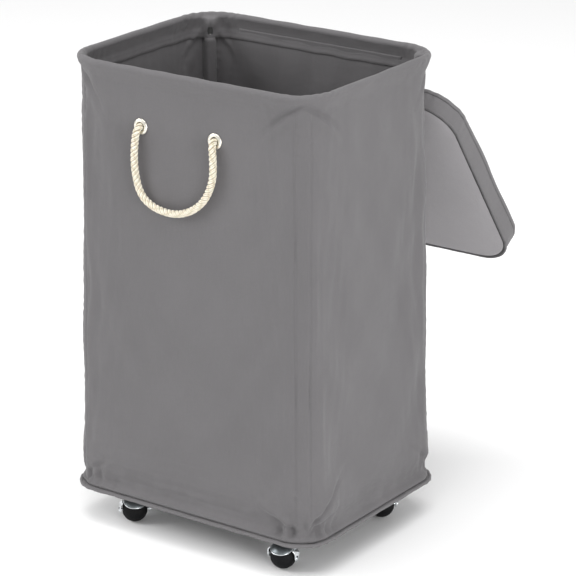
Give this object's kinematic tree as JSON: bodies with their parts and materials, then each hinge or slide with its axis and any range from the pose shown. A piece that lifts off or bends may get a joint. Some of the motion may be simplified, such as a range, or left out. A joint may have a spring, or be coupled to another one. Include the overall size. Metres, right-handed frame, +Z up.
{
  "type": "laundry hamper with lid",
  "caption": "Tall rectangular cloth laundry hamper on swivel ball casters, with a hinged soft lid hanging open at the back and a rope handle on the front.",
  "frame": {"origin": "on the floor, under the middle of the hamper's footprint", "axes": "+Z up; +X along the long side, to the right seen from the front; -Y is the front with the rope handle, +Y the back where the lid is hinged"},
  "size_m": [0.4298, 0.5572, 0.689],
  "materials": {
    "body_cloth": "matte",
    "lid_cloth": "matte",
    "piping_cloth": "matte",
    "spring_wire": "satin",
    "pole_tube": "satin",
    "cap_plastic": "matte",
    "hardboard": "matte",
    "grommet_metal": "satin",
    "rope_cotton": "matte",
    "caster_steel": "polished",
    "wheel_plastic": "satin"
  },
  "bodies": {
    "hamper_body": {"back_wall": "body_cloth", "base_board": "hardboard", "base_cloth": "body_cloth", "base_welt": "piping_cloth", "base_wire": "spring_wire", "caster_kingpin_back_left": "caster_steel", "caster_kingpin_back_right": "caster_steel", "caster_kingpin_front_left": "caster_steel", "caster_kingpin_front_right": "caster_steel", "caster_plate_back_left": "caster_steel", "caster_plate_back_right": "caster_steel", "caster_plate_front_left": "caster_steel", "caster_plate_front_right": "caster_steel", "caster_screws": "caster_steel", "corner_panel_back_left": "body_cloth", "corner_panel_back_right": "body_cloth", "corner_panel_front_left": "body_cloth", "corner_panel_front_right": "body_cloth", "corner_pole_back_left": "pole_tube", "corner_pole_back_right": "pole_tube", "corner_pole_front_left": "pole_tube", "corner_pole_front_right": "pole_tube", "front_wall": "body_cloth", "grommet_washers": "grommet_metal", "grommets": "grommet_metal", "hinge_flap_body": "body_cloth", "left_wall": "body_cloth", "pole_caps": "cap_plastic", "pole_sleeve_back_left": "body_cloth", "pole_sleeve_back_right": "body_cloth", "pole_sleeve_front_left": "body_cloth", "pole_sleeve_front_right": "body_cloth", "right_wall": "body_cloth", "rim_hem": "body_cloth", "rim_wire": "spring_wire", "rope_end_left": "rope_cotton", "rope_end_right": "rope_cotton"},
    "lid": {"lid_cover": "lid_cloth", "lid_board": "hardboard", "lid_lining": "lid_cloth", "lid_skirt": "lid_cloth", "lid_hem_tape": "lid_cloth", "lid_piping": "piping_cloth", "hinge_flap_lid": "body_cloth"},
    "rope_handle": {"rope_handle": "rope_cotton"},
    "caster_front_left": {"caster_fork_front_left": "caster_steel", "caster_axle_front_left": "caster_steel"},
    "wheel_front_left": {"caster_wheel_front_left": "wheel_plastic"},
    "caster_front_right": {"caster_fork_front_right": "caster_steel", "caster_axle_front_right": "caster_steel"},
    "wheel_front_right": {"caster_wheel_front_right": "wheel_plastic"},
    "caster_back_right": {"caster_fork_back_right": "caster_steel", "caster_axle_back_right": "caster_steel"},
    "wheel_back_right": {"caster_wheel_back_right": "wheel_plastic"},
    "caster_back_left": {"caster_fork_back_left": "caster_steel", "caster_axle_back_left": "caster_steel"},
    "wheel_back_left": {"caster_wheel_back_left": "wheel_plastic"}
  },
  "joints": [
    {"name": "lid_hinge", "type": "hinge", "parent": "hamper_body", "child": "lid", "pos_m": [0, 0.1886, 0.6443], "axis": [1, 0, 0], "range_deg": [0, 234.5]},
    {"name": "rope_handle_swing", "type": "hinge", "parent": "hamper_body", "child": "rope_handle", "pos_m": [-0.0125, -0.167, 0.606], "axis": [-1, 0, 0], "range_deg": [0, 150]},
    {"name": "swivel_front_left", "type": "hinge", "parent": "hamper_body", "child": "caster_front_left", "pos_m": [-0.1405, -0.1085, 0.04], "axis": [0, 0, 1], "continuous": true},
    {"name": "roll_front_left", "type": "hinge", "parent": "caster_front_left", "child": "wheel_front_left", "pos_m": [-0.12243, -0.12857, 0.0185], "axis": [0.7431, 0.6691, 0], "continuous": true},
    {"name": "swivel_front_right", "type": "hinge", "parent": "hamper_body", "child": "caster_front_right", "pos_m": [0.1405, -0.1085, 0.04], "axis": [0, 0, 1], "continuous": true},
    {"name": "roll_front_right", "type": "hinge", "parent": "caster_front_right", "child": "wheel_front_right", "pos_m": [0.14472, -0.13517, 0.0185], "axis": [0.9877, 0.1564, 0], "continuous": true},
    {"name": "swivel_back_right", "type": "hinge", "parent": "hamper_body", "child": "caster_back_right", "pos_m": [0.1405, 0.1085, 0.04], "axis": [0, 0, 1], "continuous": true},
    {"name": "roll_back_right", "type": "hinge", "parent": "caster_back_right", "child": "wheel_back_right", "pos_m": [0.15959, 0.08941, 0.0185], "axis": [0.7071, 0.7071, 0], "continuous": true},
    {"name": "swivel_back_left", "type": "hinge", "parent": "hamper_body", "child": "caster_back_left", "pos_m": [-0.1405, 0.1085, 0.04], "axis": [0, 0, 1], "continuous": true},
    {"name": "roll_back_left", "type": "hinge", "parent": "caster_back_left", "child": "wheel_back_left", "pos_m": [-0.12579, 0.08586, 0.0185], "axis": [0.8387, 0.5446, 0], "continuous": true}
  ]
}
